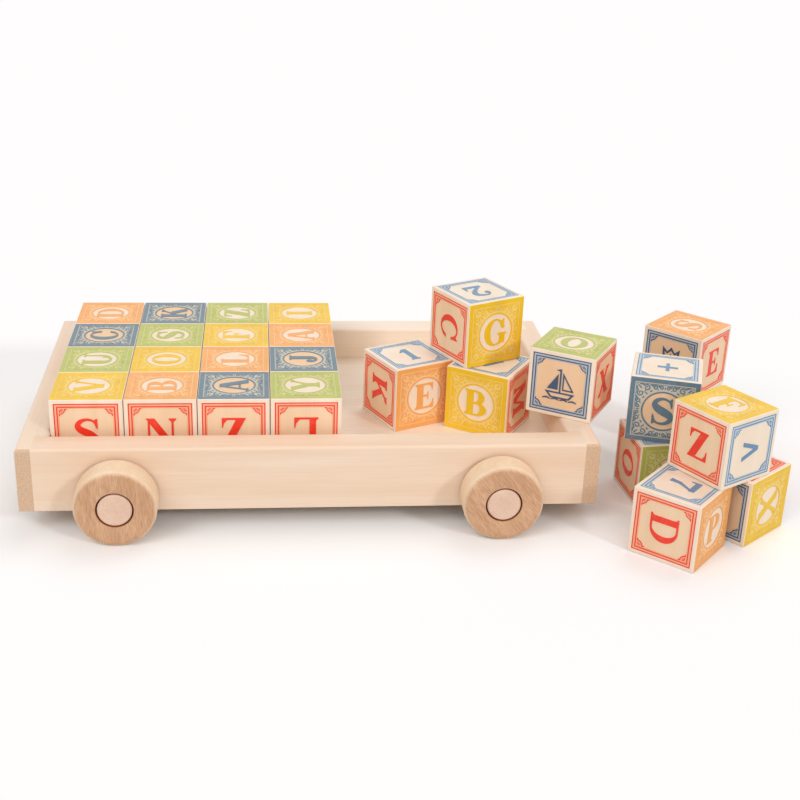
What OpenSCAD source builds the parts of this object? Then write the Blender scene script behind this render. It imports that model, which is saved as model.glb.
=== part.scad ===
// Wooden alphabet blocks with their wheeled carrying tray.
// Rest pose: one layer of blocks packed at the left of the tray, the others stacked loose at the right.
// The origin is on the ground, in the middle of everything that stands there. X runs along the tray.

/* [Blocks] */
// Length of each edge of a block
block_side = 44.45; // [40:0.05:50]
// Flat eased along every edge of a block
block_ease = 0.4; // [0.3:0.1:1.2]
// Gap between neighbouring blocks that are packed in the tray
block_gap = 0.45; // [0.3:0.05:0.8]
// Depth of the bare wood below a printed face
print_depth = 0.35; // [0.2:0.05:0.6]

/* [Coloured faces] */
// Distance from the block's edge to the thin frame line
frame_inset = 3.2; // [1.6:0.1:4]
// Width of the thin frame line
frame_line_w = 0.8; // [0.4:0.1:1]
// Outer diameter of the bare ring round the letter
ring_d = 28.4; // [26:0.1:32]
// Width of the bare ring
ring_w = 0.8; // [0.5:0.1:1.8]
// Diameter of the bare disc that the letter stands in
disc_d = 24.8; // [18:0.1:26]

/* [Line faces] */
// Distance from the block's edge to the sunk panel
panel_inset = 5.6; // [4:0.1:7]
// Radius of the hollow at each corner of the sunk panel
panel_corner_r = 6; // [4:0.1:7]

/* [Tray] */
// Block columns that the full tray holds
tray_columns = 7; // [6:1:9]
// Block rows that the full tray holds
tray_rows = 4; // [4:1:6]
// Spare length inside the tray
length_slack = 8.2; // [5:0.1:12]
// Spare width inside the tray
width_slack = 5.5; // [4:0.1:9]
// Height of the four boards
board_height = 41.3; // [36:0.1:50]
// Thickness of the front and back boards
side_board_t = 20; // [17:0.5:24]
// Thickness of the two end boards
end_board_t = 17.5; // [14:0.5:22]
// End grain of an end board that shows beside the front board
end_grain_w = 9.2; // [7:0.1:11]
// Radius of the routed top edges
edge_round = 2; // [1:0.25:3]
// Thickness of the tray's bottom panel
floor_t = 6; // [4:0.5:8]
// Depth from the boards' top to the bottom panel
floor_depth = 23.1; // [20:0.1:26]
// Depth of the groove that holds the bottom panel
groove_depth = 6; // [4:0.5:7]

/* [Wheels] */
// Diameter of a wheel
wheel_d = 50; // [46:0.5:56]
// Thickness of a wheel
wheel_t = 19; // [16:0.5:22]
// Radius of a wheel's rounded rim edges
rim_round = 2; // [1:0.25:3]
// Distance between the front and rear axle pegs along the tray
wheel_base = 235; // [200:1:250]
// How far the pair of axles sits left of the tray's middle
axle_shift = 1.7; // [0:0.1:4]
// Height of an axle above the boards' lower edge
axle_inset = 10.7; // [9:0.1:13]
// Diameter of an axle peg's shank
peg_d = 9.5; // [7:0.1:10]
// Diameter of an axle peg's head
peg_head_d = 20.6; // [17:0.1:22]
// Gap round the head in its recess in a wheel
recess_gap = 0.9; // [0.5:0.1:2]
// Depth of the recess for the head
recess_depth = 6.5; // [4:0.1:8]
// How far the head stands out of the wheel
head_proud = 0.5; // [0:0.1:2]

/* [Fits] */
// Radial clearance of a wheel on its peg
running_clearance = 0.08; // [0.04:0.01:0.1]
// Play of a wheel between the board and the peg's head
wheel_play = 0.4; // [0.3:0.1:0.8]
// Gap between a wheel and the board
wheel_gap = 1.8; // [1:0.1:3]
// Radial glue gap of a peg in the board
glue_gap = 0.05; // [0.03:0.01:0.1]
// Clearance of the bottom panel in its groove
groove_clearance = 0.1; // [0.05:0.05:0.3]

/* [Hidden] */
$fn = 96;

// One overrun serves all cuts
overrun = 1;

// Edge flats and rounds of the small pieces
peg_edge = 0.8;
recess_edge = 0.5;
peg_tip_edge = 1;
// Wood left between an axle hole and the groove, and air past the peg's tip
peg_web = 1.5;
peg_tip_gap = 0.5;
// Play of the bottom panel at the ends of its groove
panel_play = 0.5;
// Gaps between the packed blocks and the left and back walls
packed_gap_left = 0.3;
packed_gap_back = 0.6;

// Packed blocks
packed_columns = 4;
packed_rows = 4;
block_pitch = block_side + block_gap;

// Tray
inner_length = tray_columns * block_pitch + length_slack;
inner_width = tray_rows * block_pitch + width_slack;
tray_length = inner_length + 2 * end_board_t;
tray_width = inner_width + 2 * side_board_t;
axle_z = wheel_d / 2;
tray_bottom = axle_z - axle_inset;
tray_top = tray_bottom + board_height;
floor_top = tray_top - floor_depth;

// Axle pegs
peg_hole_depth = side_board_t - groove_depth - peg_web;
peg_hole_r = peg_d / 2 + glue_gap;
wheel_bore_r = peg_d / 2 + running_clearance;
recess_r = peg_head_d / 2 + recess_gap;
peg_grip = peg_hole_depth - peg_tip_gap;
head_bottom = wheel_t - recess_depth + wheel_play;
head_top = wheel_t + head_proud;
axle_x = [-axle_shift - wheel_base / 2, -axle_shift + wheel_base / 2];

// Colours of the woods and of the printed faces
BOARD_WOOD = [0.96, 0.87, 0.74];
PANEL_WOOD = [0.97, 0.90, 0.80];
END_WOOD = [0.93, 0.82, 0.68];
WHEEL_WOOD = [0.82, 0.62, 0.44];
PEG_WOOD = [0.89, 0.71, 0.58];
ORANGE = [0.96, 0.67, 0.40];
BLUE = [0.30, 0.47, 0.60];
GREEN = [0.69, 0.80, 0.33];
YELLOW = [0.93, 0.75, 0.12];
PRINT_CYCLE = [ORANGE, BLUE, GREEN, YELLOW];

// Each loose block: name, place in block sides from a corner, yaw, base level, colour, coloured axis.
// The corner is the tray's inner right front one for the first four, and its outer one for the pile.
tray_block_shares = [
    ["loose_block_right", -0.89, 1.481, -33.1, floor_top, YELLOW, 1],
    ["loose_block_left", -2.11, 1.799, 25.2, floor_top, ORANGE, 1],
    ["loose_block_top", -1.094, 1.853, 26.8, floor_top + block_side, YELLOW, 1],
    ["edge_block", 0.222, 0.926, -31.8, tray_top, GREEN, 2]
];
pile_block_shares = [
    ["pile_back_low", 2.017, 2.81, -41, 0, BLUE, 2],
    ["pile_back_high", 2.017, 2.81, -45.2, block_side, ORANGE, 2],
    ["pile_middle_low", 1.191, 0.98, 5.1, 0, GREEN, 1],
    ["pile_middle_high", 1.164, 1.029, -18.6, block_side, BLUE, 1],
    ["pile_front_low_left", 0.996, -0.753, -42.4, 0, ORANGE, 0],
    ["pile_front_low_right", 2.042, -0.082, -51.6, 0, YELLOW, 0],
    ["pile_front_high", 1.612, -0.309, -59.8, block_side, YELLOW, 2]
];
function loose_at(row, corner) = [
    row[0],
    corner[0] + row[1] * block_side,
    corner[1] + row[2] * block_side,
    row[3], row[4], row[5], row[6]
];
inner_corner = [inner_length / 2, -inner_width / 2];
outer_corner = [tray_length / 2, -tray_width / 2];
LOOSE = concat(
    [for (row = tray_block_shares) loose_at(row, inner_corner)],
    [for (row = pile_block_shares) loose_at(row, outer_corner)]
);

// Each packed block: name, place, yaw, base level, colour, coloured axis. Row 1 is the front row.
packed_x0 = -inner_length / 2 + packed_gap_left + block_side / 2;
packed_y0 = inner_width / 2 - packed_gap_back - block_side / 2;
PACKED = [
    for (r = [0 : packed_rows - 1], c = [0 : packed_columns - 1]) [
        str("packed_block_row", packed_rows - r, "_col", c + 1),
        packed_x0 + c * block_pitch,
        packed_y0 - r * block_pitch,
        0, floor_top, PRINT_CYCLE[(r + c) % len(PRINT_CYCLE)], 2
    ]
];
BLOCKS = concat(PACKED, LOOSE);

// Outline of a block with eased edges, and how far it reaches when turned
function eased_square(side, ease) = let (h = side / 2, k = side / 2 - ease)
    [[h, -k], [h, k], [k, h], [-k, h], [-h, k], [-h, -k], [-k, -h], [k, -h]];
function reach(yaw) = max([
    for (p = eased_square(block_side, block_ease)) p[0] * cos(yaw) - p[1] * sin(yaw)
]);

// Middle of the ground that the whole set covers
wheel_reach = tray_width / 2 + wheel_gap + head_top;
low_x = min(concat([-tray_length / 2], [for (b = BLOCKS) b[1] - reach(b[3])]));
high_x = max(concat([tray_length / 2], [for (b = BLOCKS) b[1] + reach(b[3])]));
low_y = min(concat([-wheel_reach], [for (b = BLOCKS) b[2] - reach(b[3])]));
high_y = max(concat([wheel_reach], [for (b = BLOCKS) b[2] + reach(b[3])]));
middle = [(low_x + high_x) / 2, (low_y + high_y) / 2];

// Each wheel and its peg: end of the name, axle's place along the tray, side of the tray
WHEELS = [
    ["front_left", axle_x[0], -1],
    ["front_right", axle_x[1], -1],
    ["back_left", axle_x[0], 1],
    ["back_right", axle_x[1], 1]
];

module on_ground() {
    translate([-middle[0], -middle[1], 0])
        children();
}

// Section of the boards' outside: a wide bar whose two top corners are rounded
module rounded_top_section(w) {
    translate([-w / 2, tray_bottom])
        square([w, board_height - edge_round]);
    translate([-w / 2 + edge_round, tray_bottom])
        square([w - 2 * edge_round, board_height]);
    for (side = [-1, 1])
        translate([side * (w / 2 - edge_round), tray_top - edge_round])
            circle(edge_round);
}

// Section of the tray's inside: a slot that opens in a rounded flare at the top
module flared_slot_section(w) {
    translate([-w / 2, tray_bottom - overrun])
        square([w, board_height + 2 * overrun]);
    difference() {
        translate([-w / 2 - edge_round, tray_top - edge_round])
            square([w + 2 * edge_round, edge_round + overrun]);
        for (side = [-1, 1])
            translate([side * (w / 2 + edge_round), tray_top - edge_round])
                circle(edge_round);
    }
}

// A section drawn with its width across Y runs along X, and one across X runs along Y
module along_x(length) {
    rotate([90, 0, 90])
        linear_extrude(length, center = true)
            children();
}

module along_y(length) {
    rotate([90, 0, 0])
        linear_extrude(length, center = true)
            children();
}

// The four boards as one frame, before they are parted at the rabbets
module tray_frame() {
    far_x = tray_length + 2 * overrun;
    far_y = tray_width + 2 * overrun;
    difference() {
        intersection() {
            along_x(tray_length) rounded_top_section(tray_width);
            along_y(tray_width) rounded_top_section(tray_length);
        }
        intersection() {
            along_x(far_x) flared_slot_section(inner_width);
            along_y(far_y) flared_slot_section(inner_length);
        }
        groove_h = floor_t + 2 * groove_clearance;
        translate([0, 0, floor_top - floor_t / 2])
            cube([inner_length + 2 * groove_depth, inner_width + 2 * groove_depth, groove_h], center = true);
    }
}

// Room of a front or back board: square ends that stop in the end boards' rabbets
module side_board_room(side) {
    room_length = tray_length - 2 * end_grain_w;
    room_y = side < 0 ? -tray_width / 2 - overrun : tray_width / 2 - side_board_t;
    translate([-room_length / 2, room_y, tray_bottom - overrun])
        cube([room_length, side_board_t + overrun, board_height + 2 * overrun]);
}

module axle_holes(side) {
    for (x = axle_x)
        translate([x, side * (tray_width / 2 - peg_hole_depth), axle_z])
            rotate([-side * 90, 0, 0])
                cylinder(r = peg_hole_r, h = peg_hole_depth + overrun);
}

module side_board(side) {
    color(BOARD_WOOD)
        difference() {
            intersection() {
                tray_frame();
                side_board_room(side);
            }
            axle_holes(side);
        }
}

module end_board(side) {
    room_x = side < 0 ? -tray_length / 2 - overrun : tray_length / 2 - end_board_t;
    room_width = tray_width + 2 * overrun;
    color(END_WOOD)
        difference() {
            intersection() {
                tray_frame();
                translate([room_x, -room_width / 2, tray_bottom - overrun])
                    cube([end_board_t + overrun, room_width, board_height + 2 * overrun]);
            }
            side_board_room(-1);
            side_board_room(1);
        }
}

module front_board() { side_board(-1); }

module back_board() { side_board(1); }

module left_end_board() { end_board(-1); }

module right_end_board() { end_board(1); }

module tray_floor() {
    grip = groove_depth - panel_play;
    color(PANEL_WOOD)
        translate([0, 0, floor_top - floor_t / 2])
            cube([inner_length + 2 * grip, inner_width + 2 * grip, floor_t], center = true);
}

// What is cut off a section's corner to round it. The corner points along +X +Y.
module corner_cut(r) {
    translate([-r, -r])
        difference() {
            square(r + overrun);
            circle(r);
        }
}

// Puts an upright round piece on an axle, with its foot on the wheel's inner face
module on_axle(w) {
    translate([w[1], w[2] * (tray_width / 2 + wheel_gap), axle_z])
        rotate([-w[2] * 90, 0, 0])
            children();
}

// Wheel with a bore, a recess for the peg's head and rounded rim edges
module wheel(w) {
    color(WHEEL_WOOD)
        on_axle(w)
            rotate_extrude()
                difference() {
                    translate([wheel_bore_r, 0])
                        square([wheel_d / 2 - wheel_bore_r, wheel_t]);
                    translate([wheel_d / 2, wheel_t]) corner_cut(rim_round);
                    translate([wheel_d / 2, 0]) mirror([0, 1]) corner_cut(rim_round);
                    translate([0, wheel_t - recess_depth])
                        square([recess_r, recess_depth + overrun]);
                    translate([recess_r, wheel_t])
                        polygon([[-recess_edge, 0], [0, -recess_edge], [recess_edge, 0]]);
                }
}

// Headed peg: glued in the side board, with the wheel turning on its shank
module axle_peg(w) {
    tip = -wheel_gap - peg_grip;
    color(PEG_WOOD)
        on_axle(w)
            rotate_extrude()
                polygon([
                    [0, tip],
                    [peg_d / 2 - peg_tip_edge, tip],
                    [peg_d / 2, tip + peg_tip_edge],
                    [peg_d / 2, head_bottom],
                    [peg_head_d / 2, head_bottom],
                    [peg_head_d / 2, head_top - peg_edge],
                    [peg_head_d / 2 - peg_edge, head_top],
                    [0, head_top]
                ]);
}

// Bare lines of a coloured face: the frame line, the ring and the disc round the letter
module coloured_face_section() {
    frame_side = block_side - 2 * frame_inset;
    difference() {
        square(frame_side, center = true);
        square(frame_side - 2 * frame_line_w, center = true);
    }
    difference() {
        circle(d = ring_d);
        circle(d = ring_d - 2 * ring_w);
    }
    circle(d = disc_d);
}

// Sunk panel of a line face, with a hollow at each corner
module line_face_section() {
    panel_side = block_side - 2 * panel_inset;
    difference() {
        square(panel_side, center = true);
        for (sx = [-1, 1], sy = [-1, 1])
            translate([sx * panel_side / 2, sy * panel_side / 2])
                circle(panel_corner_r);
    }
}

module eased_prism() {
    linear_extrude(block_side, center = true)
        polygon(eased_square(block_side, block_ease));
}

// A block about its own middle. The two faces across the coloured axis are the coloured ones.
module letter_block(coloured_axis) {
    face_turns = [
        [[0, 90, 0], [0, -90, 0]],
        [[90, 0, 0], [-90, 0, 0]],
        [[0, 0, 0], [180, 0, 0]]
    ];
    difference() {
        intersection() {
            eased_prism();
            rotate([90, 0, 0]) eased_prism();
            rotate([0, 90, 0]) eased_prism();
        }
        for (axis = [0 : len(face_turns) - 1], turn = face_turns[axis])
            rotate(turn)
                translate([0, 0, block_side / 2 - print_depth])
                    linear_extrude(print_depth + overrun)
                        if (axis == coloured_axis)
                            coloured_face_section();
                        else
                            line_face_section();
    }
}

module placed_block(b) {
    color(b[5])
        translate([b[1], b[2], b[4] + block_side / 2])
            rotate([0, 0, b[3]])
                letter_block(b[6]);
}

on_ground() front_board();
on_ground() back_board();
on_ground() left_end_board();
on_ground() right_end_board();
on_ground() tray_floor();
for (w = WHEELS) {
    on_ground() wheel(w);
    on_ground() axle_peg(w);
}
for (b = BLOCKS)
    on_ground() placed_block(b);
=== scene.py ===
import math

import bpy
import numpy as np
from mathutils import Matrix, Vector
from mathutils.geometry import delaunay_2d_cdt


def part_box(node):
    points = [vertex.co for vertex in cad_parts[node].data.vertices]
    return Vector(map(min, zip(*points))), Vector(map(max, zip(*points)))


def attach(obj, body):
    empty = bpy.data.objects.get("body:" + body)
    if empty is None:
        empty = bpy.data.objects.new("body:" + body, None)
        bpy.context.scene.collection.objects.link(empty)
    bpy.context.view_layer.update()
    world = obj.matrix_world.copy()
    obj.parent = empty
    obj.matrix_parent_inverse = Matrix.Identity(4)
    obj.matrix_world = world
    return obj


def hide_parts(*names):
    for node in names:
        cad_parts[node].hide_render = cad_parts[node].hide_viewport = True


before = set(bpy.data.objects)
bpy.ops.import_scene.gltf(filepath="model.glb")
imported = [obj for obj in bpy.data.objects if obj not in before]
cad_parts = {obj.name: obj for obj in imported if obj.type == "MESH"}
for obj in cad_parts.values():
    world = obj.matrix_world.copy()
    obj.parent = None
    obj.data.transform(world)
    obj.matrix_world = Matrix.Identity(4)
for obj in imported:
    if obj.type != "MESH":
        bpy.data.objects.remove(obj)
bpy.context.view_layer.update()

MM = 0.001

# ---------------------------------------------------------------- sizes of a block, in millimetres
SIDE = 44.45
HALF = SIDE / 2
EDGE_R = 0.7              # rounding of the twelve edges
FLAT = HALF - EDGE_R      # half side of a face's flat part
SUNK = 0.35               # depth of the bare wood below a printed face
SCORED = 0.12             # depth of the thin ornaments' ground
EDGE_STEPS = 3            # facets from a face's flat to the middle of an edge
INKED_STEPS = 2           # how many of them the colour of a coloured face covers

# coloured faces
FRAME_OUT = HALF - 3.3
FRAME_IN = HALF - 4.0
FIELD_AT = FRAME_IN - 0.4  # half side of the ornament's ground
RING_R = 13.7
DISC_R = 12.7
COLOUR_LETTER = 18.2
COLOUR_STROKE = 0.26      # a letter's thick strokes, as a share of its height
# line faces: half sides of the outside and inside of each square line
LINES_AT = ((HALF - 2.6, HALF - 3.35), (HALF - 4.5, HALF - 5.25))
PANEL_AT = HALF - 5.95
LINE_LETTER = 18.6
LINE_SIGN = 17.2
LINE_STROKE = 0.22
PICTURE = 22.0
CORNER_R = 4.0            # the panel's corner arcs
CORNER_LINE = 0.6         # their lines
CORNER_STEP = 0.9         # the square step at each end of an arc

# slots of a block's mesh
WOOD, INK, TINT, DISC, RED, RED_FILM, PALE, BLUE, BLUE_FILM, NAVY, NAVY_FILM, TAN = range(12)
LINE_SLOTS = {"red": (RED, RED_FILM, PALE), "blue": (BLUE, BLUE_FILM, WOOD), "navy": (NAVY, NAVY_FILM, TAN)}
# levels of a printed face, and their depths
LOW, MIDDLE, RAISED = range(3)
DEPTHS = (-SUNK, -SCORED, 0.0)


# ---------------------------------------------------------------- flat outlines
def bar(x0, y0, x1, y1):
    return [(x0, y0), (x1, y0), (x1, y1), (x0, y1)]


def square(h):
    return bar(-h, -h, h, h)


def slant(xa, ya, xb, yb, w):
    return [(xa - w / 2, ya), (xa + w / 2, ya), (xb + w / 2, yb), (xb - w / 2, yb)]


def polar(cx, cy, rx, ry, degrees):
    a = math.radians(degrees)
    return cx + rx * math.cos(a), cy + ry * math.sin(a)


def arc(cx, cy, rx, ry, a0, a1, n=24):
    steps = max(2, round(n * abs(a1 - a0) / 360))
    return [polar(cx, cy, rx, ry, a0 + (a1 - a0) * i / steps) for i in range(steps + 1)]


def ellipse(cx, cy, rx, ry, n=32):
    return arc(cx, cy, rx, ry, 0, 360, n)[:-1]


def quarters(poly, k):
    """The outline turned k quarter turns to the left."""
    c, s = [(1, 0), (0, 1), (-1, 0), (0, -1)][k % 4]
    return [(c * x - s * y, s * x + c * y) for x, y in poly]


def mirrored(poly):
    return [(y, x) for x, y in poly][::-1]


def lobe(x0, x1, rx, y0, y1):
    """A bar whose right end is half an ellipse."""
    return [(x0, y0)] + arc(x1, (y0 + y1) / 2, rx, (y1 - y0) / 2, -90, 90, 28) + [(x0, y1)]


def ribbon(points, steps=6):
    """A stroke along a smooth curve through (x, y, width) points."""
    p = np.array(points, float)
    p = np.vstack([2 * p[0] - p[1], p, 2 * p[-1] - p[-2]])
    rows = []
    for i in range(1, len(p) - 2):
        a, b, c, d = p[i - 1 : i + 3]
        count = steps + (i == len(p) - 3)
        for t in (k / steps for k in range(count)):
            bend = (2 * a - 5 * b + 4 * c - d) * t**2 + (3 * b - a - 3 * c + d) * t**3
            rows.append(0.5 * (2 * b + (c - a) * t + bend))
    rows = np.array(rows)
    along = np.gradient(rows[:, :2], axis=0)
    along /= np.linalg.norm(along, axis=1)[:, None]
    side = np.stack([-along[:, 1], along[:, 0]], 1) * rows[:, 2:3] / 2
    return [tuple(q) for q in np.vstack([rows[:, :2] + side, (rows[:, :2] - side)[::-1]])]


def leaf(x0, y0, x1, y1, w):
    """An almond between two points."""
    dx, dy = x1 - x0, y1 - y0
    size = math.hypot(dx, dy)
    nx, ny = -dy / size * w / 2, dx / size * w / 2
    share = [(0.2, 0.62), (0.45, 1.0), (0.72, 0.7)]
    left = [(x0 + dx * f + nx * k, y0 + dy * f + ny * k) for f, k in share]
    right = [(x0 + dx * f - nx * k, y0 + dy * f - ny * k) for f, k in share]
    return [(x0, y0)] + right + [(x1, y1)] + left[::-1]


def curl(cx, cy, r0, r1, a0, a1, w0, w1, lead=()):
    """A spiral from the outside in, after (x, y) points that lead to it."""
    n = max(5, round(abs(a1 - a0) / 42))
    pts = [(x, y, w0) for x, y in lead]
    for i in range(n + 1):
        f = i / n
        r = r0 + (r1 - r0) * f
        pts.append((*polar(cx, cy, r, r, a0 + (a1 - a0) * f), w0 + (w1 - w0) * f))
    return ribbon(pts, 3)


# ---------------------------------------------------------------- letters, one unit high
THIN, SLAB, REACH = 0.07, 0.06, 0.075


def serif(x0, x1, y, up, left=True, right=True):
    a = x0 - (REACH if left else 0)
    b = x1 + (REACH if right else 0)
    mid, top = y + up * (SLAB + 0.02), y + up * (SLAB + 0.07)
    pts = [(a, y), (b, y), (b, y + up * SLAB)]
    pts += [(x1 + 0.025, mid)] if right else []
    pts += [(x1, top), (x0, top)]
    pts += [(x0 - 0.025, mid)] if left else []
    return pts + [(a, y + up * SLAB)]


def barb(x, y, up, side=-1, size=0.30):
    """The wedge at the end of a thin bar. The bar lies on that side of x."""
    tip = y + up * size
    waist = (x + side * 0.07, y + up * size * 0.55)
    return [(x, y), (x, tip), (x + side * 0.03, tip), waist,
            (x + side * 0.19, y + up * THIN * 0.8), (x + side * 0.22, y)]


def stem(x0, x1, head="both", foot="both"):
    out = [bar(x0, 0.02, x1, 0.98)]
    for kind, y, up in ((head, 1, -1), (foot, 0, 1)):
        if kind:
            out.append(serif(x0, x1, y, up, kind in ("both", "left"), kind in ("both", "right")))
    return out


def add(*polys):
    return [(p, True) for p in polys]


def cut(*polys):
    return [(p, False) for p in polys]


def glyph(ch, T):
    """[(outline, adds)] of a letter whose thick strokes are T wide, painted in order."""
    x0, x1, t = 0.09, 0.09 + T, THIN
    if ch == "A":
        legs = slant(0.13, 0.02, 0.46, 1, t * 1.3), slant(0.86, 0.02, 0.49, 1, T * 1.08)
        return add(*legs, bar(0.22, 0.27, 0.74, 0.27 + t), serif(0.09, 0.18, 0, 1), serif(0.78, 0.95, 0, 1))
    if ch == "B":
        upper = add(lobe(x0, 0.46, 0.33, 0.47, 1)) + cut(lobe(x1, 0.46, 0.33 - T * 0.95, 0.47 + t, 1 - t))
        lower = add(lobe(x0, 0.48, 0.40, 0, 0.54)) + cut(lobe(x1, 0.48, 0.40 - T, t, 0.54 - t))
        return upper + lower + add(*stem(x0, x1, "left", "left"))
    if ch in "CG":
        out = add(ellipse(0.48, 0.5, 0.46, 0.52)) + cut(ellipse(0.53, 0.5, 0.51 - T * 1.02, 0.455))
        out += cut(bar(0.60, 0.20 if ch == "G" else 0.30, 0.97, 0.64))
        beak = [(0.84, 0.62), (0.88, 0.62), (0.88, 1.0), (0.83, 1.0), (0.78, 0.93), (0.75, 0.86)]
        if ch == "C":
            return out + add(beak, [(0.88, 0.30), (0.92, 0.31), (0.82, 0.12), (0.68, 0.05), (0.75, 0.13)])
        x2 = 0.70 + T * 0.9
        chin = [(0.55, -0.01), (0.72, 0.02), (x2, 0.16), (0.74, 0.20), (0.62, 0.06)]
        return out + add(beak, bar(0.70, 0.06, x2, 0.42), serif(0.70, x2, 0.46, -1), chin)
    if ch == "D":
        bowl = add(lobe(x0, 0.50, 0.50, 0, 1)) + cut(lobe(x1, 0.50, 0.50 - T, t, 1 - t))
        return bowl + add(*stem(x0, x1, "left", "left"))
    if ch == "E":
        bars = bar(x0, 0, 0.76, t), bar(x0, 1 - t, 0.72, 1), bar(x0, 0.47, 0.54, 0.47 + t)
        ends = bar(0.53, 0.36, 0.57, 0.64), barb(0.80, 0, 1, size=0.34), barb(0.76, 1, -1)
        return add(*stem(x0, x1, "left", "left"), *bars, *ends)
    if ch == "F":
        bars = bar(x0, 1 - t, 0.72, 1), bar(x0, 0.46, 0.52, 0.46 + t), bar(0.51, 0.35, 0.55, 0.63)
        return add(*stem(x0, x1, "left", "both"), *bars, barb(0.78, 1, -1, size=0.34))
    if ch == "H":
        return add(*stem(x0, x1), *stem(0.70, 0.70 + T), bar(x0, 0.465, 0.8, 0.465 + t))
    if ch == "I":
        return add(*stem(x0, x1))
    if ch == "J":
        hook = cut(ellipse(0.31, 0.30, 0.28 - T * 0.72, 0.22), bar(0, 0.27, 0.7, 0.6))
        post = bar(0.64 - T, 0.24, 0.64, 0.98), serif(0.64 - T, 0.64, 1, -1)
        ball = ellipse(0.20, 0.27, 0.115, 0.115, 20)
        return add(ellipse(0.36, 0.26, 0.28, 0.28)) + hook + add(*post, ball)
    if ch == "K":
        arms = slant(0.28, 0.34, 0.80, 0.98, t * 1.4), slant(0.88, 0.02, 0.52, 0.62, T * 1.15)
        return add(*stem(x0, x1), *arms, serif(0.74, 0.84, 1, -1), serif(0.80, 0.96, 0, 1))
    if ch == "L":
        return add(*stem(x0, x1, "both", "left"), bar(x0, 0, 0.78, t), barb(0.82, 0, 1, size=0.38))
    if ch == "M":
        legs = bar(0.15, 0.02, 0.15 + t, 0.98), bar(0.92, 0.02, 0.92 + T, 0.98)
        vee = slant(0.24, 1, 0.58, 0, T * 1.05), slant(0.96, 1, 0.60, 0, t * 1.2)
        feet = serif(0.15, 0.22, 0, 1), serif(0.92, 0.92 + T, 0, 1)
        heads = serif(0.15, 0.22, 1, -1, right=False), serif(0.92, 0.92 + T, 1, -1, left=False)
        return add(*legs, *vee, *feet, *heads)
    if ch == "N":
        legs = bar(0.15, 0.02, 0.15 + t, 0.98), bar(0.93, 0.02, 0.93 + t, 0.98)
        ends = serif(0.14, 0.23, 0, 1), serif(0.14, 0.24, 1, -1, right=False), serif(0.92, 1.01, 1, -1)
        return add(*legs, slant(0.22, 1, 0.92, 0, T * 1.3), *ends)
    if ch == "O":
        return add(ellipse(0.50, 0.5, 0.48, 0.52)) + cut(ellipse(0.50, 0.5, 0.48 - T, 0.455))
    if ch in "PR":
        bowl = add(lobe(x0, 0.46, 0.36, 0.43, 1)) + cut(lobe(x1, 0.46, 0.36 - T, 0.43 + t, 1 - t))
        out = bowl + add(*stem(x0, x1, "left", "both"))
        return out if ch == "P" else out + add(slant(0.84, 0.02, 0.52, 0.48, T * 1.05), serif(0.76, 0.92, 0, 1))
    if ch == "S":
        upper = [(0.80, 0.72, 0.06), (0.68, 0.90, 0.07), (0.47, 0.975, 0.09), (0.26, 0.90, 0.15),
                 (0.19, 0.74, 0.20)]
        spine = [(0.32, 0.59, T * 1.05), (0.50, 0.49, T * 1.15), (0.70, 0.38, T * 1.05)]
        lower = [(0.78, 0.24, 0.19), (0.68, 0.09, 0.14), (0.47, 0.025, 0.09), (0.27, 0.08, 0.07),
                 (0.14, 0.27, 0.06)]
        beaks = [(0.76, 0.64), (0.80, 0.64), (0.80, 1.0), (0.755, 1.0), (0.68, 0.91)], [
            (0.13, 0.36), (0.17, 0.36), (0.27, 0.08), (0.175, 0.0), (0.13, 0.0)]
        return add(ribbon(upper + spine + lower, 4), *beaks)
    if ch == "T":
        a, b = 0.45 - T / 2, 0.45 + T / 2
        wings = bar(0.06, 1 - t, 0.84, 1), barb(0.05, 1, -1, 1, 0.34), barb(0.85, 1, -1, -1, 0.34)
        return add(bar(a, 0.02, b, 0.98), serif(a, b, 0, 1), *wings)
    if ch == "U":
        inner = cut(ellipse(0.54, 0.33, 0.40 - T * 0.82, 0.27), bar(0, 0.31, 1.1, 0.7))
        posts = bar(0.12, 0.29, 0.12 + T, 0.98), bar(0.92 - t, 0.29, 0.92, 0.98)
        return add(ellipse(0.52, 0.30, 0.40, 0.32)) + inner + add(
            *posts, serif(0.12, 0.12 + T, 1, -1), serif(0.91 - t, 0.93, 1, -1))
    if ch == "V":
        arms = slant(0.20, 0.98, 0.55, 0, T * 1.1), slant(0.90, 0.98, 0.56, 0, t * 1.3)
        return add(*arms, serif(0.10, 0.30, 1, -1), serif(0.86, 0.95, 1, -1))
    if ch == "W":
        thick = slant(0.17, 0.98, 0.42, 0, T), slant(0.62, 0.98, 0.88, 0, T)
        thin = slant(0.66, 0.98, 0.44, 0, t * 1.2), slant(1.12, 0.98, 0.90, 0, t * 1.2)
        return add(*thick, *thin, serif(0.09, 0.27, 1, -1), serif(0.56, 0.70, 1, -1), serif(1.08, 1.16, 1, -1))
    if ch == "X":
        arms = slant(0.22, 0.98, 0.86, 0.02, T * 1.15), slant(0.86, 0.98, 0.20, 0.02, T * 0.62)
        feet = serif(0.15, 0.24, 0, 1), serif(0.78, 0.96, 0, 1)
        return add(*arms, serif(0.13, 0.31, 1, -1), serif(0.82, 0.91, 1, -1), *feet)
    if ch == "Y":
        a, b = 0.54 - T / 2, 0.54 + T / 2
        arms = slant(0.20, 0.98, 0.52, 0.42, T * 1.1), slant(0.90, 0.98, 0.58, 0.42, t * 1.4)
        ends = serif(0.10, 0.30, 1, -1), serif(0.86, 0.95, 1, -1), serif(a, b, 0, 1)
        return add(*arms, bar(a, 0.02, b, 0.50), *ends)
    if ch == "Z":
        bars = bar(0.10, 1 - t, 0.84, 1), bar(0.08, 0, 0.84, t)
        barbs = barb(0.09, 1, -1, 1, 0.32), barb(0.86, 0, 1, -1, 0.36)
        return add(slant(0.21, 0, 0.71, 1, T * 1.35), *bars, *barbs)
    if ch == "1":
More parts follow.
